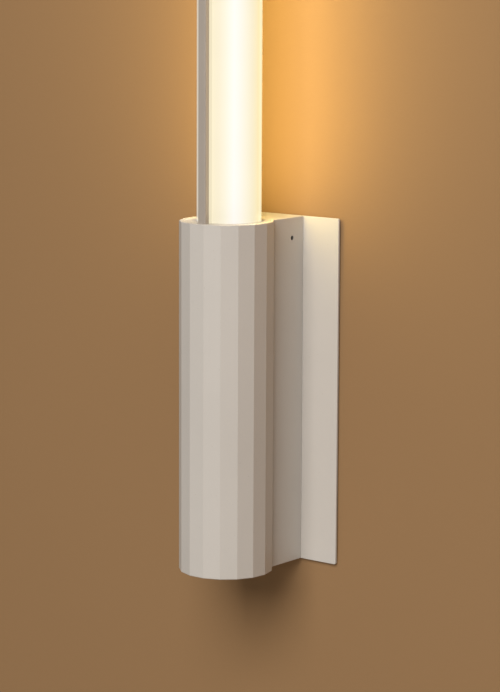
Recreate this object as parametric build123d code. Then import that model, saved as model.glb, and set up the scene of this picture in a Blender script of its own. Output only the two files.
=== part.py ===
from build123d import *
import os
from math import asin, ceil, cos, degrees, radians, sin, sqrt, tan

# Tube wall light. Millimetres. X runs along the wall, +Y points into the wall, +Z is up.
# The origin is on the wall surface, behind the middle of the wall plate.

# Column and neck: one extruded profile with a fan of flats and an open back
column_height = 228.0
column_radius = 30.52       # from the column's axis to the corners between its flats
facet_count = 13            # flats round the column, from one side of the neck to the other
neck_width = 41.2
neck_depth = 31.15          # from the corner where the last flat meets the neck back to the plate
profile_wall = 2.0
rim_bevel = 0.4
arris_radius = 0.5          # rounding of the edges between the flats
body_gap = 0.3              # between the lamp and the wall side that carries it

# Screw ports and lock rails inside the profile
port_radius = 2.6
port_bore = 1.25
port_screw = 2.4            # diameter of the screws that cut into the ports
port_off_wall = 3.4         # from the wall's inner face to the port's centre
port_rib = 1.6              # thickness of the rib that joins a port to the wall
front_port_angle = 74.0     # from the column's front to the front pair of ports
rear_port_behind = 5.0      # from the neck's front corners back to the rear pair of ports
rail_width = 8.0
rail_thickness = 1.6

# End plates of the profile
cap_thickness = 3.0
cap_recess = 0.2
cap_gap = 0.25
cap_bevel = 0.3

# Wall side: gasket, plate and channel bracket
plate_width = 98.0
plate_thickness = 1.5
plate_corner = 1.2
gasket_thickness = 1.2
gasket_inset = 2.0
gasket_clearance = 0.6      # round the openings in the gasket
bracket_thickness = 1.5
bracket_depth = 20.0
bracket_lead_in = 5.0
bracket_bend = 1.35         # outer radius of the channel's folds
slot_width = 4.6
slot_length = 12.0
slot_spacing = 170.0
head_room = 3.4             # free space round a fixing screw's head, in the channel's base
cable_hole_height = 30.0
grommet_bore = 8.0
grommet_wall = 2.0
grommet_rim = 1.9
rivet_diameter = 4.0
rivet_head = 7.0
rivet_head_height = 1.6
rivet_tail = 6.3
rivet_from_flange = 6.2
rivet_spacing_z = 116.0
earth_from_flange = 6.7
earth_screw_height = -8.0
earth_washer_rim = 1.2      # how far the washer stands out round the screw's head
earth_washer_thickness = 1.0

# Lock screws through the sides of the neck
lock_diameter = 3.0
lock_running_gap = 0.06
lock_recess = 0.4
lock_to_plate = 11.8
lock_below_top = 13.4
lock_socket = 1.5           # across the flats of the key socket
lock_point = 0.45           # bevel of the screw's tip

# Diffuser tube and the spine that carries it
tube_above_column = 379.0
tube_inset = 7.2            # from the column's inner flats in to the tube's outside
tube_wall = 1.8
tube_back_shift = 2.3       # from the column's axis back to the tube's centre
lip_thickness = 1.4
lip_gap = 0.2
lip_end_gap = 0.2
lip_fillet = 0.8
spine_to_edge = 2.2         # from the spine's hole to the front edge of the top plate
spine_width = 6.1
spine_thickness = 4.0
spine_corner = 0.7
spine_depth = 16.4          # from the spine's front to the back of the board carrier
web_thickness = 2.4
carrier_width = 14.0
carrier_thickness = 2.0
spine_port_radius = 2.3
spine_port_bore = 1.05
spine_port_depth = 2.4      # from the back of the carrier to the port's centre
end_cap_thickness = 3.0
end_cap_bevel = 0.5
end_plug_depth = 6.0
end_plug_gap = 0.25
end_plug_wall = 2.0
end_screw = 2.0
end_screw_head = 4.2
end_screw_gap = 0.4

# Light source
board_width = 12.0
board_thickness = 1.6
board_end_gap = 6.0
chip_width = 2.8
chip_length = 3.5
chip_height = 0.8
chip_pitch = 10.0
first_chip_up = 22.0        # from the board's lower end to the first chip's centre
connector_width = 7.0
connector_length = 10.0
connector_height = 4.2
connector_up = 1.0          # from the board's lower end to the connector
connector_corner = 0.5
connector_mouth = 3.0       # how deep the leads go in

# Socket that holds the tube's foot under the top plate
socket_gap = 0.25
socket_wall = 1.5
socket_depth = 36.0
socket_flange = 3.0
socket_ledge = 2.0
ledge_reach = 1.2
seal_thickness = 1.0
seal_grip = 0.05
socket_screw_angle = 50.0   # from the column's front to the front pair of socket screws
socket_screw_edge = 1.6     # from these screws' heads to the profile's inner flats
socket_rear_x = 8.0
socket_rear_edge = 0.6      # from the rear screws' heads to the flange's back
spine_below_socket = 24.0
spine_screw_shares = (0.28, 0.72)   # places of the screws along the tray's tongue

# Chassis tray with driver, terminals and cable clamp
tray_thickness = 1.2
tray_width = 36.0
tray_flange = 7.0
tongue_width = 16.0
tongue_overlap = 21.0
foot_depth = 15.0
foot_width = 24.0
foot_screw_inset = 4.5
foot_rise = 5.0             # height of the narrow web between foot and panel
fold_above_foot = 14.0
fold_below_top = 4.0
panel_above_ear = 2.0
driver_width = 34.0
driver_depth = 23.0
driver_length = 74.0
driver_wall = 1.6
driver_corner = 2.5
spine_gap_share = 0.2       # shares of the free height: between spine and driver,
lead_gap_share = 0.49       # between driver and terminals, and
clamp_gap_share = 0.1       # between terminals and cable clamp; the rest is below the clamp
lid_thickness = 2.0
lid_bevel = 0.8
lid_rim = 3.0
lid_rim_wall = 1.2
lid_gap = 0.15
ear_length = 8.0
ear_width = 12.0
ear_thickness = 2.4
terminal_width = 27.0
terminal_depth = 15.0
terminal_length = 20.0
terminal_corner = 1.5
pole_pitch = 8.5
pole_count = 3
well_diameter = 4.4
well_spacing = 11.0
well_step = 8.0
terminal_screw_gap = 0.15
terminal_screw_sunk = 2.0
terminal_slot = 0.8
notch_width = 1.4
notch_depth = 2.5
wire_way = 2.6
wire_way_depth = 5.0
fixing_floor = 4.0          # material under the head of the block's fixing screw
clamp_length = 28.0
clamp_height = 8.0
clamp_depth = 4.5
clamp_corner = 2.0
clamp_screw_inset = 4.0
clamp_rib_length = 10.0
clamp_rib_pitch = 2.4
clamp_rib_width = 1.2
clamp_rib_depth = 0.6

# Wires and fasteners
wire_diameter = 1.6
wire_straight = 0.3         # share of a short lead's height that is straight at each end
wire_bend_share = 0.45      # share of its shorter run that a bend may take
wire_fit = 0.05
tag_radius = 3.4
tag_thickness = 0.8
tag_barrel_length = 4.5
tag_barrel_wall = 0.4
tag_from_edge = 6.0
tag_below_driver = 4.6
led_wire_pitch = 3.4
m3_diameter = 2.9
m3_head = 5.4
m3_head_height = 2.0
m3_tap = 3.0
m3_clearance = 3.3
sink_gap = 0.2
m4_diameter = 4.0
m4_head = 7.6
m4_head_height = 2.8
thread_bite = 2.2           # how far a socket screw reaches into the top plate
foot_bite = 2.0             # how far a foot screw stands out above the tray's foot
port_bite = 9.0             # how far a screw reaches into a screw port
recess_reach = 0.5          # shares of a screw head: length and width of its cross recess,
recess_width = 0.12         # depth of the recess and bevel of the head's rim
recess_depth = 0.4
head_bevel = 0.35

# Places worked out from the sizes above
plate_back = -gasket_thickness
plate_front = plate_back - plate_thickness
neck_corner_back = sqrt(column_radius ** 2 - (neck_width / 2) ** 2)
axis_y = plate_front - neck_depth - neck_corner_back
neck_back = plate_front - body_gap
column_top = column_height / 2
column_low = -column_top
seat_high = column_top - cap_recess - cap_thickness
seat_low = -seat_high
neck_angle = degrees(asin(neck_width / 2 / column_radius))
facet_pitch = (360 - 2 * neck_angle) / facet_count
flat_radius = column_radius * cos(radians(facet_pitch / 2))
inner_flat = flat_radius - profile_wall
neck_inner = neck_width / 2 - profile_wall

lock_y = plate_front - lock_to_plate
lock_z = column_top - lock_below_top
bracket_half = neck_inner - rail_thickness - body_gap
bracket_inner = bracket_half - bracket_thickness
bracket_front = plate_front - bracket_depth
bracket_half_height = seat_high - body_gap
base_front = plate_front - bracket_thickness
rivet_x = bracket_inner - rivet_from_flange
earth_screw_x = bracket_inner - earth_from_flange

tube_y = axis_y + tube_back_shift
tube_radius = inner_flat - tube_inset
spine_front = axis_y - inner_flat + cap_gap + spine_to_edge + socket_gap
carrier_back = spine_front + spine_depth
spine_port_y = carrier_back - spine_port_depth
lip_half = web_thickness / 2 + lip_gap + lip_thickness
lip_front = spine_front + spine_thickness + lip_end_gap
tube_top = column_top + tube_above_column
lamp_top = tube_top + end_cap_thickness

seal_low = seat_high - seal_thickness
flange_low = seal_low - socket_flange
socket_low = seat_high - socket_depth
tube_low = socket_low + socket_ledge
spine_low = socket_low - spine_below_socket
board_low = tube_low
board_high = tube_top - board_end_gap

tray_back = carrier_back + tray_thickness
tongue_top = spine_low + tongue_overlap
free_height = spine_low - seat_low - driver_length - terminal_length - clamp_height
driver_top = spine_low - spine_gap_share * free_height
driver_low = driver_top - driver_length
terminal_top = driver_low - lead_gap_share * free_height
terminal_low = terminal_top - terminal_length
clamp_z = terminal_low - clamp_gap_share * free_height - clamp_height / 2
foot_y = carrier_back - foot_depth / 2

front_port_reach = inner_flat - port_off_wall
front_port_x = front_port_reach * sin(radians(front_port_angle))
front_port_y = axis_y - front_port_reach * cos(radians(front_port_angle))
rear_port_x = neck_inner - port_off_wall
rear_port_y = axis_y + neck_corner_back + rear_port_behind
port_points = [(side * front_port_x, front_port_y) for side in (-1, 1)]
port_points += [(side * rear_port_x, rear_port_y) for side in (-1, 1)]
port_turns = [180 - (90 - front_port_angle), -(90 - front_port_angle), 180, 0]

socket_screw_reach = inner_flat - m3_head / 2 - socket_screw_edge
socket_screw_x = socket_screw_reach * sin(radians(socket_screw_angle))
socket_screw_y = axis_y - socket_screw_reach * cos(radians(socket_screw_angle))
socket_back = bracket_front - 2 * body_gap
socket_rear_y = socket_back - m3_head / 2 - socket_rear_edge
socket_points = [(side * socket_screw_x, socket_screw_y) for side in (-1, 1)]
socket_points += [(side * socket_rear_x, socket_rear_y) for side in (-1, 1)]

driver_ear_z = [driver_top + ear_length / 2, driver_low - ear_length / 2]
spine_screw_z = [spine_low + tongue_overlap * share for share in spine_screw_shares]
pole_x = [(pole - (pole_count - 1) / 2) * pole_pitch for pole in range(pole_count)]
clamp_screw_x = clamp_length / 2 - clamp_screw_inset
foot_screw_x = foot_width / 2 - foot_screw_inset
earth_tag_x = tray_width / 2 - tag_from_edge
earth_tag_z = driver_low - tag_below_driver
tag_barrel_high = earth_tag_z - tag_radius + tag_barrel_wall
tag_wire_z = tag_barrel_high - tag_barrel_length / 2
tag_wire_y = tray_back + wire_diameter / 2 + tag_barrel_wall
lead_plug_z = board_low + connector_up + connector_mouth


# Drawing helpers

def slab(face, low, high):
    return Pos(0, 0, low) * extrude(face, high - low)


def box_between(low, high):
    size = [high[i] - low[i] for i in range(3)]
    middle = [(high[i] + low[i]) / 2 for i in range(3)]
    return Pos(*middle) * Box(*size)


def rod_y(x, z, radius, y_front, y_back):
    return Pos(x, (y_front + y_back) / 2, z) * Rot(90, 0, 0) * Cylinder(radius, y_back - y_front)


def rod_z(x, y, radius, low, high):
    return Pos(x, y, (low + high) / 2) * Cylinder(radius, high - low)


def group(solids):
    return Compound(children=list(solids))


def profile_face(inset, back):
    """Outline of column and neck, set in from the outside and cut off at the back."""
    corners = []
    for corner in range(facet_count + 1):
        angle = radians((corner - facet_count / 2) * facet_pitch)
        corners.append((column_radius * sin(angle), axis_y - column_radius * cos(angle)))
    behind = column_radius
    corners += [(neck_width / 2, behind), (-neck_width / 2, behind)]
    outline = make_face(Polyline(*corners, close=True))
    if inset:
        outline = offset(outline, -inset, kind=Kind.INTERSECTION)
    else:
        outline = fillet(outline.vertices().sort_by(Axis.Y)[:-2], arris_radius)
    span = 4 * column_radius
    return outline & (Pos(0, back - span / 2) * Rectangle(span, span))


def tube_face(grow):
    """Common outline of the diffuser tube and its spine, grown by a clearance."""
    nose = tube_y - spine_front
    outline = Pos(0, tube_y - nose / 2) * Rectangle(spine_width, nose)
    outline += Pos(0, tube_y) * Circle(tube_radius)
    return offset(outline, grow) if grow else outline


def cross_recess(head, height):
    arm = Box(head * recess_reach, head * recess_width, 2 * height * recess_depth)
    return arm + Rot(0, 0, 90) * arm


def pan_screw(diameter, head, head_height, length):
    """Screw with a raised head and a cross recess, head on top of Z = 0 and shank below."""
    body = Pos(0, 0, head_height / 2) * Cylinder(head / 2, head_height)
    body = chamfer(body.edges().group_by(Axis.Z)[-1], head_height * head_bevel)
    body += Pos(0, 0, -length / 2) * Cylinder(diameter / 2, length)
    return body - Pos(0, 0, head_height) * cross_recess(head, head_height)


def flat_screw(diameter, head, length):
    """Countersunk screw with a cross recess, its flat face at Z = 0 and shank below."""
    sink = (head - diameter) / 2
    body = Pos(0, 0, -sink / 2) * Cone(diameter / 2, head / 2, sink)
    body += Pos(0, 0, -length / 2) * Cylinder(diameter / 2, length)
    return body - cross_recess(head, sink)


def sink_cutter(diameter, head, depth):
    """Clearance hole with a countersink, opening at Z = 0 and going down."""
    sink = (head - diameter) / 2
    cutter = Pos(0, 0, -sink / 2) * Cone(diameter / 2, head / 2, sink)
    return cutter + Pos(0, 0, -depth / 2) * Cylinder(diameter / 2, depth)


def wire(points):
    """Round wire along the points, each bend as wide as the runs beside it allow."""
    corners = [Vector(*point) for point in points]
    radii = []
    for before, corner, after in zip(corners, corners[1:], corners[2:]):
        into, out = corner - before, after - corner
        half_turn = radians(into.get_angle(out)) / 2
        radii.append(wire_bend_share * min(into.length, out.length) / tan(half_turn))
    path = FilletPolyline(*points, radius=radii)
    section = Plane(origin=path @ 0, z_dir=path % 0) * Circle(wire_diameter / 2)
    return sweep(section, path=path)


# Wall side

def slot_cutter(x, z, width, length):
    face = Rot(0, 0, 90) * SlotOverall(length, width)
    return Pos(x, 0, z) * Rot(90, 0, 0) * extrude(face, bracket_depth, both=True)


def wall_openings(grow):
    """Fixing slots, cable hole and earth screw hole through the wall side."""
    cutter = [slot_cutter(0, side * slot_spacing / 2, slot_width + grow, slot_length + grow)
              for side in (-1, 1)]
    radius = grommet_bore / 2 + grommet_wall + grow / 2
    cutter.append(rod_y(0, cable_hole_height, radius, base_front - 1, 1))
    return cutter


def rivet_places():
    return [(i * rivet_x, j * rivet_spacing_z / 2) for i in (-1, 1) for j in (-1, 1)]


def make_wall_gasket():
    width = plate_width - 2 * gasket_inset
    height = column_height - 2 * gasket_inset
    pad = box_between((-width / 2, plate_back, -height / 2), (width / 2, 0, height / 2))
    pad = fillet(pad.edges().filter_by(Axis.Y), plate_corner)
    pad -= wall_openings(2 * gasket_clearance)
    rim = grommet_bore / 2 + grommet_wall + grommet_rim + cap_gap
    pad -= rod_y(0, cable_hole_height, rim, plate_back - 1, 1)
    for x, z in rivet_places():
        pad -= rod_y(x, z, rivet_head / 2 + cap_gap, plate_back - 1, 1)
    return pad - rod_y(earth_screw_x, earth_screw_height, m4_head / 2, plate_back - 1, 1)


def make_wall_plate():
    plate = box_between((-plate_width / 2, plate_front, column_low),
                        (plate_width / 2, plate_back, column_top))
    plate = fillet(plate.edges().filter_by(Axis.Y), plate_corner)
    plate = fillet(plate.edges().group_by(Axis.Y)[0], cap_bevel)
    plate -= wall_openings(0)
    for x, z in rivet_places():
        plate -= rod_y(x, z, rivet_diameter / 2, plate_front - 1, 0)
    return plate - rod_y(earth_screw_x, earth_screw_height, m4_diameter / 2, plate_front - 1, 0)


def make_mounting_bracket():
    """Channel with its base on the plate and two flanges that the neck slides over."""
    channel = box_between((-bracket_half, bracket_front, -bracket_half_height),
                          (bracket_half, plate_front, bracket_half_height))
    channel -= box_between((-bracket_inner, bracket_front - 1, -bracket_half_height - 1),
                           (bracket_inner, base_front, bracket_half_height + 1))
    channel = chamfer(channel.edges().filter_by(Axis.X).group_by(Axis.Y)[0], bracket_lead_in)
    base_edges = channel.edges().filter_by(Axis.Z).group_by(Axis.Y)[-1]
    channel = fillet(base_edges, min(bracket_bend, 0.9 * bracket_thickness))
    for side in (-1, 1):
        z = side * slot_spacing / 2
        channel -= slot_cutter(0, z, slot_width + 2 * head_room, slot_length + 2 * head_room)
    radius = grommet_bore / 2 + grommet_wall
    channel -= rod_y(0, cable_hole_height, radius, base_front - 1, 0)
    for x, z in rivet_places():
        channel -= rod_y(x, z, rivet_diameter / 2, base_front - 1, 0)
    return channel - rod_y(earth_screw_x, earth_screw_height, m4_diameter / 2, base_front - 1, 0)


def make_bracket_rivets():
    rivets = []
    for x, z in rivet_places():
        rivet = rod_y(x, z, rivet_diameter / 2, base_front, plate_back)
        head = rod_y(x, z, rivet_head / 2, base_front - rivet_head_height, base_front)
        head = chamfer(head.edges().group_by(Axis.Y)[0], rivet_head_height / 2)
        tail = rod_y(x, z, rivet_tail / 2, plate_back, -cap_recess)
        rivets.append(rivet + head + tail)
    return group(rivets)


def make_cable_grommet():
    """Rubber ring that is snapped through the plate and the channel's base."""
    shank = grommet_bore / 2 + grommet_wall
    rim = shank + grommet_rim
    ring = rod_y(0, cable_hole_height, shank, base_front, plate_back)
    nose = rod_y(0, cable_hole_height, rim, base_front - grommet_rim, base_front)
    ring += chamfer(nose.edges().group_by(Axis.Y)[0], grommet_rim / 2)
    ring += rod_y(0, cable_hole_height, rim, plate_back, 0)
    return ring - rod_y(0, cable_hole_height, grommet_bore / 2, base_front - grommet_rim - 1, 1)


def make_earth_washer():
    front = base_front - earth_washer_thickness
    radius = m4_head / 2 + earth_washer_rim
    disc = rod_y(earth_screw_x, earth_screw_height, radius, front, base_front)
    return disc - rod_y(earth_screw_x, earth_screw_height, m4_diameter / 2, front - 1, 0)


def make_earth_screw():
    front = base_front - earth_washer_thickness
    screw = pan_screw(m4_diameter, m4_head, m4_head_height, plate_back - front)
    return Pos(earth_screw_x, front, earth_screw_height) * Rot(90, 0, 0) * screw


# Lamp body

def port_faces(grow):
    """Screw ports with the ribs that join them to the wall, grown by a clearance."""
    rib_length = port_off_wall + profile_wall / 2
    rib = Pos(rib_length / 2, 0) * Rectangle(rib_length, port_rib + 2 * grow)
    port = Circle(port_radius + grow) + rib
    return [Pos(x, y) * Rot(0, 0, turn) * port for (x, y), turn in zip(port_points, port_turns)]


def make_body_profile():
    """Extruded profile: flats, open neck, four screw ports and two lock rails."""
    shell = slab(profile_face(0, neck_back), column_low, column_top)
    shell = chamfer(shell.faces().sort_by(Axis.Z)[-1].edges(), rim_bevel)
    shell = chamfer(shell.faces().sort_by(Axis.Z)[0].edges(), rim_bevel)
    shell -= slab(profile_face(profile_wall, 1), column_low - 1, column_top + 1)
    hollow = slab(profile_face(profile_wall / 2, 1), seat_low, seat_high)
    for port in port_faces(0):
        shell += slab(port, seat_low, seat_high) & hollow
    for side in (-1, 1):
        x_wall = side * (neck_inner + profile_wall / 2)
        x_rail = side * (neck_inner - rail_thickness)
        shell += box_between((min(x_wall, x_rail), lock_y - rail_width / 2, seat_low),
                             (max(x_wall, x_rail), lock_y + rail_width / 2, seat_high))
    for x, y in port_points:
        shell -= rod_z(x, y, port_bore, seat_low - 1, seat_high + 1)
    bore = lock_diameter / 2 + lock_running_gap
    return shell - Pos(0, lock_y, lock_z) * Rot(0, 90, 0) * Cylinder(bore, 2 * neck_width)


def cap_blank(low):
    return slab(profile_face(profile_wall + cap_gap, neck_back), low, low + cap_thickness)


def make_top_cap():
    cap = cap_blank(seat_high)
    cap = chamfer(cap.faces().sort_by(Axis.Z)[-1].edges(), cap_bevel)
    cap -= slab(tube_face(socket_gap), seat_high - 1, column_top + 1)
    for x, y in socket_points:
        cap -= rod_z(x, y, m3_tap / 2, seat_high - 1, seat_high + thread_bite)
    return cap


def make_bottom_cap():
    low = seat_low - cap_thickness
    cap = cap_blank(low)
    cap = chamfer(cap.faces().sort_by(Axis.Z)[0].edges(), cap_bevel)
    hole = Rot(180, 0, 0) * sink_cutter(m3_clearance, m3_head + sink_gap, cap_thickness + 1)
    for x, y in port_points:
        cap -= Pos(x, y, low) * hole
    for side in (-1, 1):
        cap -= Pos(side * foot_screw_x, foot_y, low) * hole
    return cap


def make_bottom_cap_screws():
    screw = Rot(180, 0, 0) * flat_screw(port_screw, m3_head, cap_thickness + port_bite)
    low = seat_low - cap_thickness
    return group(Pos(x, y, low) * screw for x, y in port_points)


def make_lock_screw(side):
    """Headless screw in the neck's side, its tip just clear of the bracket's flange."""
    outer = neck_width / 2 - lock_recess
    inner = bracket_half + body_gap
    length = outer - inner
    screw = Cylinder(lock_diameter / 2, length)
    screw = chamfer(screw.edges().group_by(Axis.Z)[0], lock_point)
    screw -= extrude(RegularPolygon(lock_socket / 2, 6, major_radius=False), length)
    return Pos(side * (outer + inner) / 2, lock_y, lock_z) * Rot(0, side * 90, 0) * screw


# Tube foot: socket and seal under the top plate

def flange_face(hole_grow):
    face = profile_face(profile_wall + 2 * cap_gap, socket_back)
    for port in port_faces(cap_gap):
        face -= port
    return face - tube_face(hole_grow)


def make_light_seal():
    seal = slab(flange_face(seal_grip), seal_low, seat_high)
    for x, y in socket_points:
        seal -= rod_z(x, y, m3_clearance / 2, seal_low - 1, seat_high + 1)
    return seal


def make_tube_socket():
    """Sleeve round the tube's foot, with a screwed flange above and a ledge below."""
    flange = slab(flange_face(socket_gap), flange_low, seal_low)
    sleeve = slab(tube_face(socket_gap + socket_wall) - tube_face(socket_gap), socket_low, seal_low)
    nose = Pos(0, spine_front + spine_thickness / 2)
    way = nose * Rectangle(spine_width + 2 * socket_gap, spine_thickness + 2 * socket_gap)
    ledge = slab(tube_face(socket_gap) - tube_face(-ledge_reach) - way, socket_low, tube_low)
    socket = flange + sleeve + ledge
    for x, y in socket_points:
        socket -= rod_z(x, y, m3_clearance / 2, flange_low - 1, seal_low + 1)
    return socket


def make_socket_screws():
    screw = pan_screw(m3_diameter, m3_head, m3_head_height, seat_high - flange_low + thread_bite)
    return group(Pos(x, y, flange_low) * Rot(180, 0, 0) * screw for x, y in socket_points)


# Tube: spine, diffuser and end cap

def spine_face():
    nose = Pos(0, spine_front + spine_thickness / 2)
    face = nose * RectangleRounded(spine_width, spine_thickness, spine_corner)
    web = carrier_back - spine_front - spine_thickness / 2
    face += Pos(0, carrier_back - web / 2) * Rectangle(web_thickness, web)
    carrier = Pos(0, carrier_back - carrier_thickness / 2)
    face += carrier * Rectangle(carrier_width, carrier_thickness)
    face += Pos(0, spine_port_y) * Circle(spine_port_radius)
    return face - Pos(0, spine_port_y) * Circle(spine_port_bore)


def make_spine():
    """I-shaped extrusion: a flat front bar, a web between the lips and a board carrier."""
    spine = slab(spine_face(), spine_low, tube_top)
    for z in spine_screw_z:
        for side in (-1, 1):
            x = side * carrier_width / 4
            spine -= rod_y(x, z, m3_tap / 2, carrier_back - carrier_thickness - 1, 0)
    return spine


def make_diffuser_tube():
    """Opal tube with a slit in front, its two lips reaching to the back of the spine."""
    reach = tube_y - lip_front
    lips = Pos(0, tube_y - reach / 2) * Rectangle(2 * lip_half, reach)
    outside = Pos(0, tube_y) * Circle(tube_radius) + lips
    inner_corner_y = tube_y - sqrt(tube_radius ** 2 - lip_half ** 2)
    corners = [v for v in outside.vertices() if abs(v.Y - inner_corner_y) < 0.01]
    outside = fillet(corners, lip_fillet)
    slit_half = lip_half - lip_thickness
    slit = Pos(0, tube_y - reach / 2 - 1) * Rectangle(2 * slit_half, reach + 2)
    inside = Pos(0, tube_y) * Circle(tube_radius - tube_wall) + slit
    return slab(outside - inside, tube_low, tube_top)


def make_tube_end_cap():
    """Flat cap in the outline of tube and spine, with a plug ring inside the tube."""
    cap = slab(tube_face(0), tube_top, lamp_top)
    cap = chamfer(cap.faces().sort_by(Axis.Z)[-1].edges(), end_cap_bevel)
    plug_radius = tube_radius - tube_wall - end_plug_gap
    ring = Circle(plug_radius) - Circle(plug_radius - end_plug_wall)
    front = carrier_back + board_thickness + connector_height
    keep = Pos(0, front + tube_radius) * Rectangle(2 * tube_radius, 2 * tube_radius)
    cap += slab((Pos(0, tube_y) * ring) & keep, tube_top - end_plug_depth, tube_top)
    hole = sink_cutter(end_screw + end_screw_gap, end_screw_head + sink_gap, end_cap_thickness + 1)
    return cap - Pos(0, spine_port_y, lamp_top) * hole


def make_end_cap_screw():
    screw = flat_screw(end_screw, end_screw_head, end_cap_thickness + port_bite)
    return Pos(0, spine_port_y, lamp_top) * screw


# Light source

def make_led_board():
    half = board_width / 2
    return box_between((-half, carrier_back, board_low),
                       (half, carrier_back + board_thickness, board_high))


def make_led_chips():
    y = carrier_back + board_thickness
    room = board_high - board_low - first_chip_up - chip_pitch / 2
    chips = []
    for step in range(ceil(room / chip_pitch)):
        z = board_low + first_chip_up + step * chip_pitch
        chip = box_between((-chip_width / 2, y, z - chip_length / 2),
                           (chip_width / 2, y + chip_height, z + chip_length / 2))
        chips.append(chip)
    return group(chips)


def make_led_connector():
    y = carrier_back + board_thickness
    low = board_low + connector_up
    block = box_between((-connector_width / 2, y, low),
                        (connector_width / 2, y + connector_height, low + connector_length))
    block = chamfer(block.edges().group_by(Axis.Y)[-1], connector_corner)
    radius = wire_diameter / 2 + wire_fit
    for x in (-led_wire_pitch / 2, led_wire_pitch / 2):
        block -= rod_z(x, y + connector_height / 2, radius, board_low, lead_plug_z)
    return block


# Chassis

def make_chassis_tray():
    """Folded tray: tongue on the spine, panel for the driver, side folds and a foot."""
    half = tray_width / 2
    foot_high = seat_low + tray_thickness
    panel_top = driver_top + ear_length + panel_above_ear
    front = carrier_back - tray_flange
    panel_low = foot_high + foot_rise
    tray = box_between((-half, carrier_back, panel_low), (half, tray_back, panel_top))
    tray += box_between((-tongue_width / 2, carrier_back, panel_top),
                        (tongue_width / 2, tray_back, tongue_top))
    for side in (-1, 1):
        outer, inner = side * half, side * (half - tray_thickness)
        tray += box_between((min(outer, inner), front, foot_high + fold_above_foot),
                            (max(outer, inner), tray_back, panel_top - fold_below_top))
    tray += box_between((-foot_width / 2, carrier_back, seat_low),
                        (foot_width / 2, tray_back, panel_low))
    tray += box_between((-foot_width / 2, carrier_back - foot_depth, seat_low),
                        (foot_width / 2, tray_back, foot_high))
    for side in (-1, 1):
        tray -= rod_z(side * foot_screw_x, foot_y, m3_tap / 2, seat_low - 1, foot_high + 1)
        tray -= rod_y(side * clamp_screw_x, clamp_z, m3_tap / 2, carrier_back - 1, 0)
        for z in spine_screw_z:
            tray -= rod_y(side * carrier_width / 4, z, m3_clearance / 2, carrier_back - 1, 0)
    for z in driver_ear_z:
        tray -= rod_y(0, z, m3_tap / 2, carrier_back - 1, 0)
    tray -= rod_y(pole_pitch / 2, terminal_middle(), m3_tap / 2, carrier_back - 1, 0)
    return tray - rod_y(earth_tag_x, earth_tag_z, m3_tap / 2, carrier_back - 1, 0)


def terminal_middle():
    return (terminal_top + terminal_low) / 2


def tray_screw(x, z, seat, length):
    screw = pan_screw(m3_diameter, m3_head, m3_head_height, length)
    return Pos(x, seat, z) * Rot(-90, 0, 0) * screw


def make_spine_screws():
    length = tray_thickness + carrier_thickness
    places = [(side * carrier_width / 4, z) for side in (-1, 1) for z in spine_screw_z]
    return group(tray_screw(x, z, tray_back, length) for x, z in places)


def make_foot_screws():
    length = cap_thickness + tray_thickness + foot_bite
    screw = Rot(180, 0, 0) * flat_screw(m3_diameter, m3_head, length)
    low = seat_low - cap_thickness
    return group(Pos(side * foot_screw_x, foot_y, low) * screw for side in (-1, 1))


def driver_box(inset, y_low, y_high):
    half = driver_width / 2 - inset
    block = box_between((-half, y_low, driver_low + inset), (half, y_high, driver_top - inset))
    return fillet(block.edges().filter_by(Axis.Y), max(driver_corner - inset, driver_corner / 5))


def make_driver_case():
    """Moulded case that opens away from the tray, with an ear at each end."""
    back = tray_back + driver_depth - lid_thickness
    case = driver_box(0, tray_back, back)
    for z, end in zip(driver_ear_z, (1, -1)):
        ear = box_between((-ear_width / 2, tray_back, z - ear_length / 2),
                          (ear_width / 2, tray_back + ear_thickness, z + ear_length / 2))
        outer_edges = ear.edges().filter_by(Axis.Y).group_by(Axis.Z)[-1 if end > 0 else 0]
        case += fillet(outer_edges, ear_width / 4)
    case -= driver_box(driver_wall, tray_back + driver_wall, back + 1)
    for z in driver_ear_z:
        case -= rod_y(0, z, m3_clearance / 2, tray_back - 1, tray_back + ear_thickness + 1)
    return case


def make_driver_lid():
    back = tray_back + driver_depth
    lid = driver_box(0, back - lid_thickness, back)
    lid = chamfer(lid.faces().sort_by(Axis.Y)[-1].edges(), lid_bevel)
    rim_outside = driver_wall + lid_gap
    rim = driver_box(rim_outside, back - lid_thickness - lid_rim, back - lid_thickness)
    rim -= driver_box(rim_outside + lid_rim_wall, back - lid_thickness - lid_rim - 1, back)
    return lid + rim


def make_driver_screws():
    length = ear_thickness + tray_thickness
    seat = tray_back + ear_thickness
    return group(tray_screw(0, z, seat, length) for z in driver_ear_z)


def make_terminal_block():
    """Screw terminals: a block with notched sides, wells for screws and wire ways."""
    half = terminal_width / 2
    back = tray_back + terminal_depth
    block = box_between((-half, tray_back, terminal_low), (half, back, terminal_top))
    block = fillet(block.edges().group_by(Axis.Y)[-1].filter_by(Axis.Z), terminal_corner)
    middle = terminal_middle()
    for i in range(pole_count - 1):
        x = (pole_x[i] + pole_x[i + 1]) / 2
        for z in (terminal_low, terminal_top):
            notch = Box(notch_width, terminal_depth + 2, 2 * notch_depth)
            block -= Pos(x, (back + tray_back) / 2, z) * notch
    for x in pole_x:
        for z in (middle - well_spacing / 2, middle + well_spacing / 2):
            block -= rod_y(x, z, well_diameter / 2, back - well_step, back + 1)
        way_y = back - well_step - wire_way / 2
        block -= rod_z(x, way_y, wire_way / 2, terminal_low - 1, terminal_low + wire_way_depth)
    block -= rod_y(pole_pitch / 2, middle, m3_clearance / 2, tray_back - 1, back + 1)
    radius = m3_head / 2 + sink_gap
    return block - rod_y(pole_pitch / 2, middle, radius, tray_back + fixing_floor, back + 1)


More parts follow.
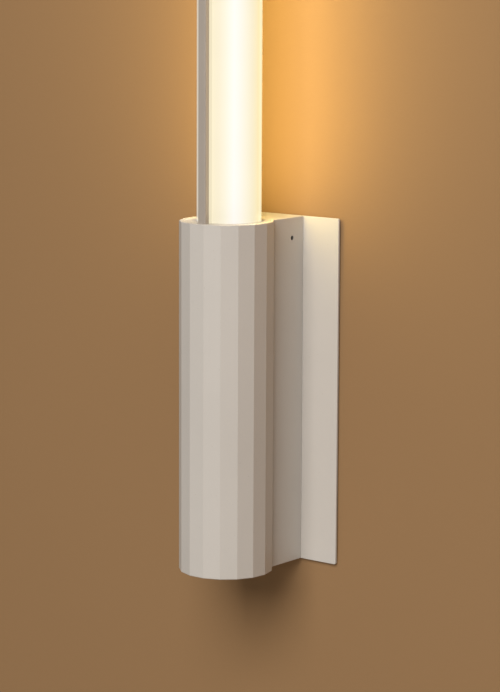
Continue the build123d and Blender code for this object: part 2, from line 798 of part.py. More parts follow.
def make_terminal_screws():
    back = tray_back + terminal_depth
    middle = terminal_middle()
    radius = well_diameter / 2 - terminal_screw_gap
    face = back - terminal_screw_sunk
    screws = []
    for x in pole_x:
        for z in (middle - well_spacing / 2, middle + well_spacing / 2):
            screw = rod_y(x, z, radius, back - well_step, face)
            slot = Pos(x, face, z) * Box(2 * radius + 1, 2 * terminal_slot, terminal_slot)
            screws.append(screw - slot)
    return group(screws)


def make_terminal_fixing_screw():
    seat = tray_back + fixing_floor
    return tray_screw(pole_pitch / 2, terminal_middle(), seat, fixing_floor + tray_thickness)


def make_cable_clamp():
    """Clamp bar with a ribbed underside, screwed down on the tray."""
    half = clamp_length / 2
    bar = box_between((-half, tray_back, clamp_z - clamp_height / 2),
                      (half, tray_back + clamp_depth, clamp_z + clamp_height / 2))
    bar = fillet(bar.edges().filter_by(Axis.Y), clamp_corner)
    groove = Box(clamp_rib_length, 2 * clamp_rib_depth, clamp_rib_width)
    for rib in (-1, 0, 1):
        bar -= Pos(0, tray_back, clamp_z + rib * clamp_rib_pitch) * groove
    for side in (-1, 1):
        bar -= rod_y(side * clamp_screw_x, clamp_z, m3_clearance / 2, tray_back - 1, 0)
    return bar


def make_clamp_screws():
    seat = tray_back + clamp_depth
    length = clamp_depth + tray_thickness
    return group(tray_screw(side * clamp_screw_x, clamp_z, seat, length) for side in (-1, 1))


def make_earth_tag():
    """Ring tag on the tray, with its crimped barrel down towards the terminals."""
    tag = rod_y(earth_tag_x, earth_tag_z, tag_radius, tray_back, tray_back + tag_thickness)
    barrel_low = tag_barrel_high - tag_barrel_length
    barrel_radius = wire_diameter / 2 + tag_barrel_wall
    tag += rod_z(earth_tag_x, tag_wire_y, barrel_radius, barrel_low, tag_barrel_high)
    tag -= rod_z(earth_tag_x, tag_wire_y, wire_diameter / 2, barrel_low - 1, tag_wire_z)
    return tag - rod_y(earth_tag_x, earth_tag_z, m3_clearance / 2, tray_back - 1, 0)


def make_earth_tag_screw():
    seat = tray_back + tag_thickness
    return tray_screw(earth_tag_x, earth_tag_z, seat, tag_thickness + tray_thickness)


# Wires

def block_lead(pole, end):
    """Lead from a pole at the top of the terminal block up to its other end."""
    start = (pole_x[pole], tray_back + terminal_depth - well_step - wire_way / 2, terminal_top)
    straight = wire_straight * (end[2] - terminal_top)
    points = [start, (start[0], start[1], start[2] + straight), (end[0], end[1], end[2] - straight), end]
    return wire(points)


def make_live_lead():
    return block_lead(0, (pole_x[0] + led_wire_pitch / 2, tray_back + driver_depth / 2, driver_low))


def make_neutral_lead():
    return block_lead(1, (pole_x[1] - led_wire_pitch / 2, tray_back + driver_depth / 2, driver_low))


def make_earth_lead():
    return block_lead(2, (earth_tag_x, tag_wire_y, tag_wire_z))


def led_wire(side):
    """Lead from the driver's upper end to the connector on the light board."""
    x = side * led_wire_pitch / 2
    y_driver = tray_back + driver_depth / 2
    y_board = carrier_back + board_thickness + connector_height / 2
    low, high = driver_top, lead_plug_z
    straight = wire_straight * (high - low)
    points = [(x, y_driver, low), (x, y_driver, low + straight),
              (x, y_board, high - straight), (x, y_board, high)]
    return wire(points)


def make_led_lead_positive():
    return led_wire(1)


def make_led_lead_negative():
    return led_wire(-1)


parts = {
    "wall_gasket": make_wall_gasket,
    "wall_plate": make_wall_plate,
    "mounting_bracket": make_mounting_bracket,
    "bracket_rivets": make_bracket_rivets,
    "cable_grommet": make_cable_grommet,
    "earth_washer": make_earth_washer,
    "earth_screw": make_earth_screw,
    "body_profile": make_body_profile,
    "top_cap": make_top_cap,
    "bottom_cap": make_bottom_cap,
    "bottom_cap_screws": make_bottom_cap_screws,
    "lock_screw_left": lambda: make_lock_screw(-1),
    "lock_screw_right": lambda: make_lock_screw(1),
    "light_seal": make_light_seal,
    "tube_socket": make_tube_socket,
    "socket_screws": make_socket_screws,
    "spine": make_spine,
    "diffuser_tube": make_diffuser_tube,
    "tube_end_cap": make_tube_end_cap,
    "end_cap_screw": make_end_cap_screw,
    "led_board": make_led_board,
    "led_chips": make_led_chips,
    "led_connector": make_led_connector,
    "chassis_tray": make_chassis_tray,
    "spine_screws": make_spine_screws,
    "foot_screws": make_foot_screws,
    "driver_case": make_driver_case,
    "driver_lid": make_driver_lid,
    "driver_screws": make_driver_screws,
    "terminal_block": make_terminal_block,
    "terminal_screws": make_terminal_screws,
    "terminal_fixing_screw": make_terminal_fixing_screw,
    "cable_clamp": make_cable_clamp,
    "clamp_screws": make_clamp_screws,
    "earth_tag": make_earth_tag,
    "earth_tag_screw": make_earth_tag_screw,
    "live_lead": make_live_lead,
    "neutral_lead": make_neutral_lead,
    "earth_lead": make_earth_lead,
    "led_lead_positive": make_led_lead_positive,
    "led_lead_negative": make_led_lead_negative,
}

os.makedirs("parts", exist_ok=True)
for name, make in parts.items():
    export_step(make(), f"parts/{name}.step")
    print("wrote", name)
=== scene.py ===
import math

import bmesh
import bpy
from mathutils import Matrix, Vector


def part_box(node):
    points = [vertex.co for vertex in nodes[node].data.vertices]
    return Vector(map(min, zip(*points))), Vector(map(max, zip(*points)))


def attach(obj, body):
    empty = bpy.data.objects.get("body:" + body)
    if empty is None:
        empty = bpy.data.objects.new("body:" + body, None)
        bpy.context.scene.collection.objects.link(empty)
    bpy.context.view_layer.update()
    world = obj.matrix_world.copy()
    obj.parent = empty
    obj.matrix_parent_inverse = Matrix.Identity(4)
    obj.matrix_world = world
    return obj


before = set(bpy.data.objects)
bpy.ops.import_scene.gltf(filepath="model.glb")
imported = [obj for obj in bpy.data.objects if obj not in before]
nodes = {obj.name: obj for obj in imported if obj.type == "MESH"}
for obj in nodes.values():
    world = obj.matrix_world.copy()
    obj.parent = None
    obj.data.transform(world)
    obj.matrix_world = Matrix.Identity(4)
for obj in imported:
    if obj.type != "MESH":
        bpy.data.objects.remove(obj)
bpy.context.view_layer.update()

# Tube wall light: a painted column on a wall plate, with a lit opal tube standing in it.
# Metres. Y = 0 is the wall, -Y comes out of it, Z is up.

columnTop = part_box("body_profile")[1].z
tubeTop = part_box("diffuser_tube")[1].z
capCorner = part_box("tube_end_cap")[1]  # the cap is centred on x = 0 and as wide as the tube
tubeRadius = capCorner.x
tubeAxisY = capCorner.y - tubeRadius


# Node helpers

noiseSpan = (0.3, 0.7)  # where most of a noise pattern's values lie
colourMix = {"share": 0, "a": 6, "b": 7, "result": 2}  # the sockets of a Mix node that mixes colours


def startFinish(name):
    material = bpy.data.materials.new(name)
    material.use_nodes = True
    tree = material.node_tree
    tree.nodes.clear()
    shader = tree.nodes.new("ShaderNodeBsdfPrincipled")
    output = tree.nodes.new("ShaderNodeOutputMaterial")
    tree.links.new(shader.outputs["BSDF"], output.inputs["Surface"])
    place = tree.nodes.new("ShaderNodeTexCoord").outputs["Object"]
    return material, tree, shader, place


def noise(tree, place, scale, detail=2.0, rough=0.5, warp=0.0):
    node = tree.nodes.new("ShaderNodeTexNoise")
    node.inputs["Scale"].default_value = scale
    node.inputs["Detail"].default_value = detail
    node.inputs["Roughness"].default_value = rough
    node.inputs["Distortion"].default_value = warp
    tree.links.new(place, node.inputs["Vector"])
    return node.outputs["Fac"]


def cells(tree, place, scale, feature="F1"):
    node = tree.nodes.new("ShaderNodeTexVoronoi")
    node.feature = feature
    node.inputs["Scale"].default_value = scale
    tree.links.new(place, node.inputs["Vector"])
    return node.outputs["Distance"]


def mapping(tree, place, scale=(1.0, 1.0, 1.0), turn=(0.0, 0.0, 0.0)):  # draws a pattern out, or turns it
    node = tree.nodes.new("ShaderNodeMapping")
    node.inputs["Rotation"].default_value = turn
    node.inputs["Scale"].default_value = scale
    tree.links.new(place, node.inputs["Vector"])
    return node.outputs["Vector"]


def sums(tree, operation, a, b=0.0):
    node = tree.nodes.new("ShaderNodeMath")
    node.operation = operation
    for socket, value in zip(node.inputs, (a, b)):
        if isinstance(value, (int, float)):
            socket.default_value = value
        else:
            tree.links.new(value, socket)
    return node.outputs[0]


def spread(tree, value, low, high, toLow, toHigh):
    node = tree.nodes.new("ShaderNodeMapRange")
    for name, number in (("From Min", low), ("From Max", high), ("To Min", toLow), ("To Max", toHigh)):
        node.inputs[name].default_value = number
    tree.links.new(value, node.inputs["Value"])
    return node.outputs["Result"]


def swing(tree, pattern, low, high):  # a noise pattern as a number from low to high
    return spread(tree, pattern, *noiseSpan, low, high)


def ramp(tree, value, stops):
    node = tree.nodes.new("ShaderNodeValToRGB")
    points = node.color_ramp.elements
    points[0].position, points[-1].position = stops[0][0], stops[-1][0]
    for at, _ in stops[1:-1]:
        points.new(at)
    for point, (_, colour) in zip(points, stops):
        point.color = (*colour, 1.0) if isinstance(colour, tuple) else (colour, colour, colour, 1.0)
    tree.links.new(value, node.inputs["Fac"])
    return node.outputs["Color"]


def tint(tree, pattern, dark, light):  # a noise pattern as a colour, or a grey, from dark to light
    return ramp(tree, pattern, [(noiseSpan[0], dark), (noiseSpan[1], light)])


def blendColours(tree, share, a, b, kind="MIX"):
    node = tree.nodes.new("ShaderNodeMix")
    node.data_type = "RGBA"
    node.blend_type = kind
    for name, value in (("share", share), ("a", a), ("b", b)):
        socket = node.inputs[colourMix[name]]
        if isinstance(value, (int, float)):
            socket.default_value = value
        elif isinstance(value, tuple):
            socket.default_value = (*value, 1.0)
        else:
            tree.links.new(value, socket)
    return node.outputs[colourMix["result"]]


def relief(tree, height, depth, under=None):
    node = tree.nodes.new("ShaderNodeBump")
    node.inputs["Strength"].default_value = 1.0
    node.inputs["Distance"].default_value = depth
    tree.links.new(height, node.inputs["Height"])
    if under is not None:
        tree.links.new(under, node.inputs["Normal"])
    return node.outputs["Normal"]


def shades(colour, amount):  # the same colour a little darker and a little lighter
    return tuple(c * (1 - amount) for c in colour), tuple(min(1.0, c * (1 + amount)) for c in colour)


# Finishes

def paintedMetal(name, values):  # cloudy tone, fine grain, sparse flecks, and powder coat's waves and peel
    material, tree, shader, place = startFinish(name)
    cloud = noise(tree, place, values["cloudScale"], detail=4.0, rough=0.55)
    grain = noise(tree, place, values["grainScale"], detail=3.0, rough=0.6)
    tone = tint(tree, cloud, *shades(values["colour"], values["variation"]))
    grainShade = ramp(tree, grain, values["grainStops"])
    tone = blendColours(tree, values["grainTone"], tone, grainShade, "SOFT_LIGHT")
    fleck = sums(tree, "LESS_THAN", cells(tree, place, values["fleckScale"]), values["fleckSize"])
    fleck = sums(tree, "MULTIPLY", fleck, values["fleckTone"])
    tone = blendColours(tree, fleck, tone, values["fleckColour"])
    tree.links.new(tone, shader.inputs["Base Color"])
    gloss = sums(tree, "ADD", swing(tree, cloud, *values["rough"]),
                 swing(tree, grain, -values["grainRough"], values["grainRough"]))
    tree.links.new(gloss, shader.inputs["Roughness"])
    wave = relief(tree, noise(tree, place, values["waveScale"], detail=1.0), values["waveDepth"])
    peel = noise(tree, place, values["peelScale"], detail=2.0, rough=0.45)
    peel = relief(tree, peel, values["peelDepth"], under=wave)
    tree.links.new(relief(tree, grain, values["grainDepth"], under=peel), shader.inputs["Normal"])
    shader.inputs["Specular IOR Level"].default_value = values["specular"]
    shader.inputs["Metallic"].default_value = values["metallic"]
    return material


powderCoat = {
    "colour": (0.61, 0.574, 0.530), "variation": 0.018, "cloudScale": 16.0,
    "grainScale": 2600.0, "grainTone": 0.10, "grainStops": [(0.25, 0.25), (0.75, 0.85)],
    "grainDepth": 0.000006, "grainRough": 0.05,
    "fleckScale": 210.0, "fleckSize": 0.06, "fleckTone": 0.35, "fleckColour": (0.40, 0.35, 0.30),
    "rough": (0.44, 0.53), "specular": 0.42, "metallic": 0.0,
    "waveScale": 150.0, "waveDepth": 0.00003, "peelScale": 820.0, "peelDepth": 0.000028,
}
# A satin coat: its gloss is its own, and its colour, darker than the powder coat's, is painted shade for the
# weaker light on the spine.
satinCoatPaintedShade = {
    "colour": (0.47, 0.415, 0.36), "variation": 0.02, "cloudScale": 20.0,
    "grainScale": 3000.0, "grainTone": 0.08, "grainStops": [(0.25, 0.25), (0.75, 0.85)],
    "grainDepth": 0.000004, "grainRough": 0.04,
    "fleckScale": 260.0, "fleckSize": 0.04, "fleckTone": 0.25, "fleckColour": (0.34, 0.30, 0.26),
    "rough": (0.36, 0.44), "specular": 0.45, "metallic": 0.15,
    "waveScale": 120.0, "waveDepth": 0.00002, "peelScale": 1100.0, "peelDepth": 0.000012,
}


def opalTube(name, values):  # its glow goes by the angle round its axis, and fades a little at both ends; the whiter band at 47 degrees is a painted highlight, and the dimmer front near the spine is painted shade
    material, tree, shader, place = startFinish(name)
    coatTint = values["coatTint"]
    parts = tree.nodes.new("ShaderNodeSeparateXYZ")
    tree.links.new(place, parts.inputs["Vector"])
    forward = sums(tree, "SUBTRACT", tubeAxisY, parts.outputs["Y"])
    side = sums(tree, "ABSOLUTE", parts.outputs["X"])
    turn = sums(tree, "ARCTAN2", side, forward)
    turn = sums(tree, "DIVIDE", turn, math.pi)  # 0 at the front, 1 at the wall
    brightest = max(max(colour) for _, colour in values["glow"])
    glow = [(degrees / 180.0, tuple(c / brightest for c in colour)) for degrees, colour in values["glow"]]
    # the glow ramp carries a painted highlight at 47 degrees and painted shade at the front near the spine
    tree.links.new(ramp(tree, turn, glow), shader.inputs["Emission Color"])
    height = spread(tree, parts.outputs["Z"], columnTop, tubeTop, 0.0, 1.0)
    along = ramp(tree, height, values["along"])
    cloud = noise(tree, place, values["cloudScale"])
    strength = sums(tree, "MULTIPLY", along, swing(tree, cloud, 1.0 - values["unevenness"], 1.0))
    strength = sums(tree, "MULTIPLY", strength, brightest / coatTint)  # because the tinted coat dims the glow
    tree.links.new(strength, shader.inputs["Emission Strength"])
    colours = shades(values["colour"], values["variation"])
    tree.links.new(tint(tree, cloud, *colours), shader.inputs["Base Color"])
    frost = noise(tree, place, values["frostScale"], detail=3.0, rough=0.6)
    tree.links.new(swing(tree, frost, *values["rough"]), shader.inputs["Roughness"])
    drawn = noise(tree, mapping(tree, place, scale=values["drawn"]), values["drawScale"], detail=1.0)
    ripple = relief(tree, drawn, values["drawDepth"])
    tree.links.new(relief(tree, frost, values["frostDepth"], under=ripple), shader.inputs["Normal"])
    shader.inputs["Specular IOR Level"].default_value = values["specular"]
    shader.inputs["Coat Weight"].default_value = 1.0
    shader.inputs["Coat Roughness"].default_value = values["coatRough"]
    shader.inputs["Coat IOR"].default_value = values["coatIor"]
    shader.inputs["Coat Tint"].default_value = (coatTint, coatTint, coatTint, 1.0)
    return material


opal = {
    "colour": (0.30, 0.29, 0.26), "variation": 0.02, "specular": 0.2,
    # degrees from the front round to the wall, and the glow there; the whiter glow at 47 is a painted
    # highlight, and the dimmer glow at the front, near the spine, is painted shade
    "glow": [(0, (0.90, 0.80, 0.54)), (21, (0.90, 0.81, 0.60)), (31, (0.92, 0.86, 0.68)),
             (47, (0.98, 0.94, 0.885)), (58, (0.97, 0.93, 0.83)), (70, (0.98, 0.925, 0.74)),
             (83, (1.0, 0.92, 0.67)), (100, (1.13, 1.0, 0.60)), (112, (1.3, 1.26, 0.84)),
             (140, (1.2, 0.95, 0.46)), (180, (1.2, 0.95, 0.44))],
    # from the column's top to the end of the tube
    "along": [(0.0, 0.94), (0.03, 0.985), (0.08, 1.0), (0.95, 1.0), (1.0, 0.94)],
    "coatTint": 0.5, "coatRough": 0.16, "coatIor": 1.49, "rough": (0.34, 0.42),
    "cloudScale": 24.0, "unevenness": 0.02, "frostScale": 1800.0, "frostDepth": 0.000004,
    "drawn": (1.0, 1.0, 0.06), "drawScale": 160.0, "drawDepth": 0.00002,
}


def platedMetal(name, values):  # drawn streaks, the bloom of zinc crystals, and a few duller stains
    material, tree, shader, place = startFinish(name)
    drawn = mapping(tree, place, scale=values["drawn"])
    streak = noise(tree, drawn, values["streakScale"], detail=4.0, rough=0.65)
    bloom = cells(tree, place, values["bloomScale"])
    bloom = spread(tree, bloom, *values["bloomSpan"], 0.0, values["bloomTone"])
    tone = tint(tree, streak, *shades(values["colour"], values["variation"]))
    tone = blendColours(tree, bloom, tone, values["bloomColour"])
    stain = noise(tree, place, values["stainScale"], detail=3.0, rough=0.6, warp=0.6)
    stain = spread(tree, stain, *values["stainSpan"], 0.0, values["stainTone"])
    tone = blendColours(tree, stain, tone, values["stainColour"])
    tree.links.new(tone, shader.inputs["Base Color"])
    tree.links.new(swing(tree, streak, *values["rough"]), shader.inputs["Roughness"])
    tree.links.new(relief(tree, streak, values["depth"]), shader.inputs["Normal"])
    shader.inputs["Metallic"].default_value = values["metallic"]
    return material


zincSheet = {
    "colour": (0.60, 0.615, 0.63), "variation": 0.10, "drawn": (1.0, 1.0, 0.08), "streakScale": 900.0,
    "bloomScale": 160.0, "bloomSpan": (0.2, 0.8), "bloomTone": 0.25, "bloomColour": (0.48, 0.50, 0.53),
    "stainScale": 45.0, "stainSpan": (0.58, 0.72), "stainTone": 0.35, "stainColour": (0.42, 0.42, 0.41),
    "metallic": 0.95, "rough": (0.28, 0.42), "depth": 0.00001,
}
zincFastener = dict(zincSheet, colour=(0.66, 0.66, 0.66), drawn=(1.0, 1.0, 1.0), streakScale=1400.0,
                    bloomScale=700.0, rough=(0.22, 0.38))
darkFastener = dict(zincFastener, colour=(0.075, 0.072, 0.070), variation=0.2, metallic=0.7,
                    bloomColour=(0.05, 0.048, 0.046), stainColour=(0.13, 0.11, 0.09), rough=(0.34, 0.5))
brassFastener = dict(zincFastener, colour=(0.70, 0.52, 0.24), metallic=1.0,
                     bloomColour=(0.60, 0.42, 0.18), stainColour=(0.42, 0.28, 0.13), rough=(0.2, 0.36))
tinnedTag = dict(zincFastener, colour=(0.68, 0.64, 0.55), metallic=1.0,
                 bloomColour=(0.56, 0.52, 0.44), stainColour=(0.45, 0.40, 0.32), rough=(0.24, 0.4))


def mouldedPlastic(name, values):  # the soft texture of a spark-eroded mould
    material, tree, shader, place = startFinish(name)
    cloud = noise(tree, place, values["cloudScale"], detail=3.0, rough=0.5)
    spark = noise(tree, place, values["textureScale"], detail=3.0, rough=0.6)
    tone = tint(tree, cloud, *shades(values["colour"], values["variation"]))
    sparkShade = tint(tree, spark, *values["sparkShades"])
    tone = blendColours(tree, values["sparkTone"], tone, sparkShade, "SOFT_LIGHT")
    tree.links.new(tone, shader.inputs["Base Color"])
    tree.links.new(swing(tree, spark, *values["rough"]), shader.inputs["Roughness"])
    skinScale = values["textureScale"] * values["skinShare"]
    skin = relief(tree, cells(tree, place, skinScale, "SMOOTH_F1"), values["depth"])
    fine = relief(tree, spark, values["depth"] * values["sparkShare"], under=skin)
    tree.links.new(fine, shader.inputs["Normal"])
    shader.inputs["Specular IOR Level"].default_value = values["specular"]
    return material


whiteMoulding = {
    "colour": (0.76, 0.755, 0.73), "variation": 0.03, "cloudScale": 40.0, "textureScale": 1500.0,
    "sparkTone": 0.06, "sparkShades": (0.2, 0.8), "skinShare": 0.7, "sparkShare": 0.5,
    "rough": (0.42, 0.55), "depth": 0.000010, "specular": 0.45,
}
creamMoulding = dict(whiteMoulding, colour=(0.80, 0.78, 0.70), rough=(0.26, 0.38), depth=0.000004)
driverShell = dict(whiteMoulding, colour=(0.74, 0.74, 0.72), textureScale=1100.0, depth=0.000016)
connectorShell = dict(creamMoulding, colour=(0.82, 0.80, 0.73))
blackMoulding = dict(whiteMoulding, colour=(0.028, 0.028, 0.029), variation=0.12, rough=(0.40, 0.55),
                     sparkTone=0.2)
blackRubber = dict(blackMoulding, colour=(0.022, 0.021, 0.021), rough=(0.62, 0.78), specular=0.3,
                   depth=0.00002)
foamSheet = dict(blackRubber, colour=(0.050, 0.049, 0.048), variation=0.25, textureScale=900.0,
                 depth=0.00016, rough=(0.82, 0.95), sparkTone=0.5)
wireShell = dict(whiteMoulding, variation=0.06, textureScale=1900.0, rough=(0.28, 0.40), depth=0.000005)


def boardFinish(name, values):  # white solder mask with faint copper tracks under it
    material, tree, shader, place = startFinish(name)
    cloud = noise(tree, place, values["cloudScale"], detail=3.0)
    tone = tint(tree, cloud, *shades(values["colour"], values["variation"]))
    track = tree.nodes.new("ShaderNodeTexBrick")
    track.inputs["Scale"].default_value = values["trackScale"]
    track.inputs["Mortar Size"].default_value = values["trackWidth"]
    track.inputs["Row Height"].default_value = values["trackPitch"]
    track.inputs["Brick Width"].default_value = values["trackLength"]
    upright = mapping(tree, place, turn=(math.pi / 2, 0.0, 0.0))
    tree.links.new(upright, track.inputs["Vector"])
    share = sums(tree, "MULTIPLY", track.outputs["Fac"], values["trackTone"])
    tree.links.new(blendColours(tree, share, tone, values["trackColour"]), shader.inputs["Base Color"])
    tree.links.new(swing(tree, cloud, *values["rough"]), shader.inputs["Roughness"])
    tree.links.new(relief(tree, track.outputs["Fac"], values["depth"]), shader.inputs["Normal"])
    return material


whiteBoard = {
    "colour": (0.82, 0.82, 0.79), "variation": 0.02, "cloudScale": 60.0, "rough": (0.22, 0.32),
    "depth": 0.00002, "trackScale": 220.0, "trackWidth": 0.035, "trackPitch": 0.9, "trackLength": 1.6,
    "trackTone": 0.35, "trackColour": (0.70, 0.68, 0.60),
}


def chipFinish(name, values):  # a yellow phosphor window that lets some light in
    material, tree, shader, place = startFinish(name)
    grain = noise(tree, place, values["grainScale"], detail=3.0)
    tree.links.new(tint(tree, grain, values["dark"], values["light"]), shader.inputs["Base Color"])
    tree.links.new(swing(tree, grain, *values["rough"]), shader.inputs["Roughness"])
    tree.links.new(relief(tree, grain, values["depth"]), shader.inputs["Normal"])
    shader.inputs["Subsurface Weight"].default_value = values["soft"]
    shader.inputs["Subsurface Radius"].default_value = values["softReach"]
    shader.inputs["Subsurface Scale"].default_value = 1.0
    return material


phosphor = {
    "dark": (0.82, 0.60, 0.14), "light": (0.93, 0.74, 0.25), "grainScale": 2400.0, "rough": (0.3, 0.45),
    "depth": 0.00001, "soft": 0.15, "softReach": (0.0008, 0.0006, 0.0002),
}


def earthInsulation(name, values):  # green with a yellow stripe down two sides
    material, tree, shader, place = startFinish(name)
    normal = tree.nodes.new("ShaderNodeTexCoord").outputs["Normal"]
    parts = tree.nodes.new("ShaderNodeSeparateXYZ")
    tree.links.new(normal, parts.inputs["Vector"])
    wander = noise(tree, place, values["wanderScale"])
    edge = sums(tree, "ADD", sums(tree, "ABSOLUTE", parts.outputs["X"]),
                swing(tree, wander, -values["wander"], values["wander"]))
    stripe = sums(tree, "GREATER_THAN", edge, values["stripeFrom"])
    tree.links.new(blendColours(tree, stripe, values["green"], values["yellow"]), shader.inputs["Base Color"])
    tree.links.new(swing(tree, wander, *values["rough"]), shader.inputs["Roughness"])
    tree.links.new(relief(tree, wander, values["depth"]), shader.inputs["Normal"])
    return material


earthWire = {
    "green": (0.03, 0.20, 0.05), "yellow": (0.78, 0.62, 0.05), "stripeFrom": 0.72,
    "wanderScale": 400.0, "wander": 0.04, "rough": (0.28, 0.38), "depth": 0.00001,
}


def wireFinish(name, colour):
    return mouldedPlastic(name, dict(wireShell, colour=colour))


finishes = {
    "powder_coat": paintedMetal("powderCoat", powderCoat),
    # the satin coat's darker colour is painted shade
    "satin_coat": paintedMetal("satinCoatPaintedShade", satinCoatPaintedShade),
    "opal": opalTube("opalTube", opal),
    "gasket_foam": mouldedPlastic("gasketFoam", foamSheet),
    "zinc_steel": platedMetal("zincSheet", zincSheet),
    "zinc_screw": platedMetal("zincFastener", zincFastener),
    "dark_screw": platedMetal("darkFastener", darkFastener),
    "brass_screw": platedMetal("brassFastener", brassFastener),
    "tinned_brass": platedMetal("tinnedTag", tinnedTag),
    "black_rubber": mouldedPlastic("blackRubber", blackRubber),
    "socket_plastic": mouldedPlastic("socketMoulding", whiteMoulding),
    "white_board": boardFinish("whiteBoard", whiteBoard),
    "led_chip": chipFinish("chipPhosphor", phosphor),
    "connector_white": mouldedPlastic("connectorMoulding", connectorShell),
    "driver_plastic": mouldedPlastic("driverMoulding", driverShell),
    "terminal_plastic": mouldedPlastic("terminalMoulding", creamMoulding),
    "black_plastic": mouldedPlastic("clampMoulding", blackMoulding),
    "brown_wire": wireFinish("brownInsulation", (0.12, 0.045, 0.02)),
    "blue_wire": wireFinish("blueInsulation", (0.03, 0.12, 0.42)),
    "red_wire": wireFinish("redInsulation", (0.46, 0.02, 0.015)),
    "black_wire": wireFinish("blackInsulation", (0.02, 0.02, 0.02)),
    "earth_wire": earthInsulation("earthInsulation", earthWire),
}

for node in nodes.values():
    for slot in node.material_slots:
        slot.material = finishes[slot.material.name]
print("finishes:", len(finishes))


# Studio backdrops: a plain wall that is open behind the wall plate, and a plain floor

backdrops = {
    "wallColour": (0.322, 0.190, 0.0900), "floorColour": (0.74, 0.73, 0.71), "variation": 0.012,
    "cloudScale": 3.0, "plasterScale": 420.0, "plasterDepth": 0.00008, "rough": 0.9, "specular": 0.2,
    "behind": 0.0002, "halfWidth": 3.0, "bottom": -1.2, "top": 1.8, "floorDepth": 4.0,
    "lap": 0.0035,  # how far the wall reaches in behind the plate's edges
}


def backdropFinish(name, colour):  # painted on its front, and clear from behind
    material, tree, shader, place = startFinish(name)
    cloud = noise(tree, place, backdrops["cloudScale"], detail=3.0)
    colours = shades(colour, backdrops["variation"])
    tree.links.new(tint(tree, cloud, *colours), shader.inputs["Base Color"])
    plaster = noise(tree, place, backdrops["plasterScale"], detail=3.0, rough=0.6)
    tree.links.new(relief(tree, plaster, backdrops["plasterDepth"]), shader.inputs["Normal"])
    shader.inputs["Roughness"].default_value = backdrops["rough"]
    shader.inputs["Specular IOR Level"].default_value = backdrops["specular"]
    clear = tree.nodes.new("ShaderNodeBsdfTransparent")
    facing = tree.nodes.new("ShaderNodeNewGeometry")
    oneSided = tree.nodes.new("ShaderNodeMixShader")
    tree.links.new(facing.outputs["Backfacing"], oneSided.inputs["Fac"])
    tree.links.new(shader.outputs["BSDF"], oneSided.inputs[1])
    tree.links.new(clear.outputs["BSDF"], oneSided.inputs[2])
    output = next(n for n in tree.nodes if n.type == "OUTPUT_MATERIAL")
    tree.links.new(oneSided.outputs["Shader"], output.inputs["Surface"])
    return material


def addObject(name, mesh, material):
    made = bpy.data.objects.new(name, mesh)
    mesh.materials.append(material)
    bpy.context.scene.collection.objects.link(made)
    return made


def uprightRectangle(bm, halfWidth, bottom, top):
    corners = ((-halfWidth, bottom), (halfWidth, bottom), (halfWidth, top), (-halfWidth, top))
    verts = [bm.verts.new((x, backdrops["behind"], z)) for x, z in corners]
    return [bm.edges.new(ends) for ends in zip(verts, verts[1:] + verts[:1])]


def wallBackdrop():
    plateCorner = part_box("wall_plate")[1]
    holeWidth, holeHeight = plateCorner.x - backdrops["lap"], plateCorner.z - backdrops["lap"]
    mesh = bpy.data.meshes.new("wallBackdrop")
    bm = bmesh.new()
    edges = uprightRectangle(bm, backdrops["halfWidth"], backdrops["bottom"], backdrops["top"])
    edges += uprightRectangle(bm, holeWidth, -holeHeight, holeHeight)
    bmesh.ops.bridge_loops(bm, edges=edges)
    for face in bm.faces:
        if face.normal.y > 0:
            face.normal_flip()
    bm.to_mesh(mesh)
    bm.free()
    return addObject("wallBackdrop", mesh, backdropFinish("wallPaint", backdrops["wallColour"]))


def floorBackdrop():
    depth = backdrops["floorDepth"]
    middle = (0.0, backdrops["behind"] - depth / 2, backdrops["bottom"])
    mesh = bpy.data.meshes.new("floorBackdrop")
    bm = bmesh.new()
    bmesh.ops.create_grid(bm, x_segments=1, y_segments=1, size=0.5)
    bmesh.ops.scale(bm, vec=(2 * backdrops["halfWidth"], depth, 1.0), verts=bm.verts)
    bmesh.ops.translate(bm, vec=middle, verts=bm.verts)
    bm.to_mesh(mesh)
    bm.free()
    return addObject("floorBackdrop", mesh, backdropFinish("floorPaint", backdrops["floorColour"]))


wallBackdrop()
floorBackdrop()
print("backdrops: wall and floor")


# Studio lights: one large soft light, a weak even fill, and what the lit tube throws on its surroundings

def direction(azimuth, elevation):  # azimuth 0 is straight out of the wall, 90 towards +X
    a, e = math.radians(azimuth), math.radians(elevation)
    return Vector((math.sin(a) * math.cos(e), -math.cos(a) * math.cos(e), math.sin(e)))


def areaLight(name, spot, heading, width, height, power, colour):
    lamp = bpy.data.lights.new(name, "AREA")
    lamp.shape, lamp.size, lamp.size_y = "RECTANGLE", width, height
    lamp.energy, lamp.color = power, colour
    made = bpy.data.objects.new(name, lamp)
    made.matrix_world = Matrix.Translation(spot) @ (-heading).to_track_quat("Z", "Y").to_matrix().to_4x4()
    made.visible_camera = False
    bpy.context.scene.collection.objects.link(made)
    return made


key = {
    "power": 143.0, "size": 2.35, "away": 4.0, "azimuth": 18.0, "elevation": 32.0,
    "colour": (1.0, 0.965, 0.925),
}


def keyLight(values):
    back, size = direction(values["azimuth"], values["elevation"]), values["size"]
    areaLight("keyLight", back * values["away"], -back, size, size, values["power"], values["colour"])


# Upright strips just off the tube: azimuth from its front on both sides, share of the power, colour
tubeThrow = {
    "sides": [(24.0, 0.11, "front"), (40.0, 0.38, "front"), (68.0, 0.80, "front"),
              (98.0, 1.0, "rear"), (128.0, 0.98, "rear"), (160.0, 0.78, "rear")],
    "front": (0.95, 0.81, 0.52), "rear": (1.0, 0.775, 0.265), "power": 0.0955,
    "width": 0.010, "offTube": 0.0006, "overColumn": 0.0045, "underTop": 0.0005,
}


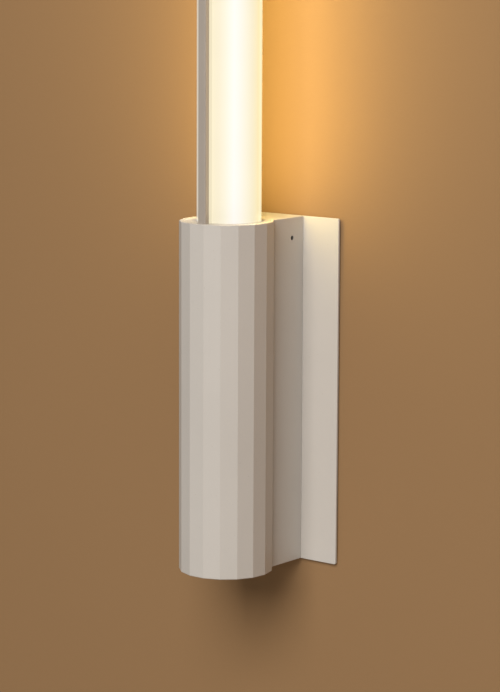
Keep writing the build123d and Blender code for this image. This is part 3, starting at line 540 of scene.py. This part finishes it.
def throwLight(name, values, azimuth, share, colour):
    foot, top = columnTop + values["overColumn"], tubeTop - values["underTop"]
    out = direction(azimuth, 0.0)
    spot = Vector((0.0, tubeAxisY, (foot + top) / 2)) + out * (tubeRadius + values["offTube"])
    made = areaLight(name, spot, out, values["width"], top - foot, values["power"] * share, values[colour])
    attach(made, "lamp")


fill = {"colour": (1.0, 0.95, 0.90), "strength": 0.078, "seenStrength": 0.62}


def paleWorld(values):  # weak as light, and paler where the camera sees it
    world = bpy.data.worlds.new("studio")
    bpy.context.scene.world = world
    world.use_nodes = True
    tree = world.node_tree
    lit = tree.nodes["Background"]
    seen = tree.nodes.new("ShaderNodeBackground")
    for background, strength in ((lit, values["strength"]), (seen, values["seenStrength"])):
        background.inputs["Color"].default_value = (*values["colour"], 1.0)
        background.inputs["Strength"].default_value = strength
    either = tree.nodes.new("ShaderNodeMixShader")
    tree.links.new(tree.nodes.new("ShaderNodeLightPath").outputs["Is Camera Ray"], either.inputs["Fac"])
    tree.links.new(lit.outputs["Background"], either.inputs[1])
    tree.links.new(seen.outputs["Background"], either.inputs[2])
    tree.links.new(either.outputs["Shader"], tree.nodes["World Output"].inputs["Surface"])


keyLight(key)
for azimuth, share, colour in tubeThrow["sides"]:
    for hand, sign in (("Right", 1.0), ("Left", -1.0)):
        throwLight(f"tubeThrow{hand}{azimuth:.0f}", tubeThrow, sign * azimuth, share, colour)
paleWorld(fill)
print("lights: key, fill and", 2 * len(tubeThrow["sides"]), "strips at the tube")


# Camera at the photograph's place

view = {
    "azimuth": 38.483, "elevation": 8.977, "roll": 0.2524, "lens": 130.11, "sensor": 36.0,
    "away": 1.61297, "right": -0.01529, "up": -0.03244, "target": (0.0, -0.05637, 0.0),
    "near": 0.05, "far": 50.0,
}


def photoCamera(values):
    data = bpy.data.cameras.new("photoCamera")
    data.sensor_width, data.lens = values["sensor"], values["lens"]
    data.clip_start, data.clip_end = values["near"], values["far"]
    back = direction(values["azimuth"], values["elevation"])
    level = Vector((0.0, 0.0, 1.0)).cross(back).normalized()
    turn = Matrix.Rotation(math.radians(values["roll"]), 3, back)
    right, up = turn @ level, turn @ back.cross(level)
    spot = Vector(values["target"]) + back * values["away"] - right * values["right"] - up * values["up"]
    made = bpy.data.objects.new("photoCamera", data)
    made.matrix_world = Matrix.Translation(spot) @ Matrix((right, up, back)).transposed().to_4x4()
    bpy.context.scene.collection.objects.link(made)
    return made


bpy.context.scene.camera = photoCamera(view)
bpy.context.scene.view_settings.view_transform = "Standard"
print("camera: photograph's place")
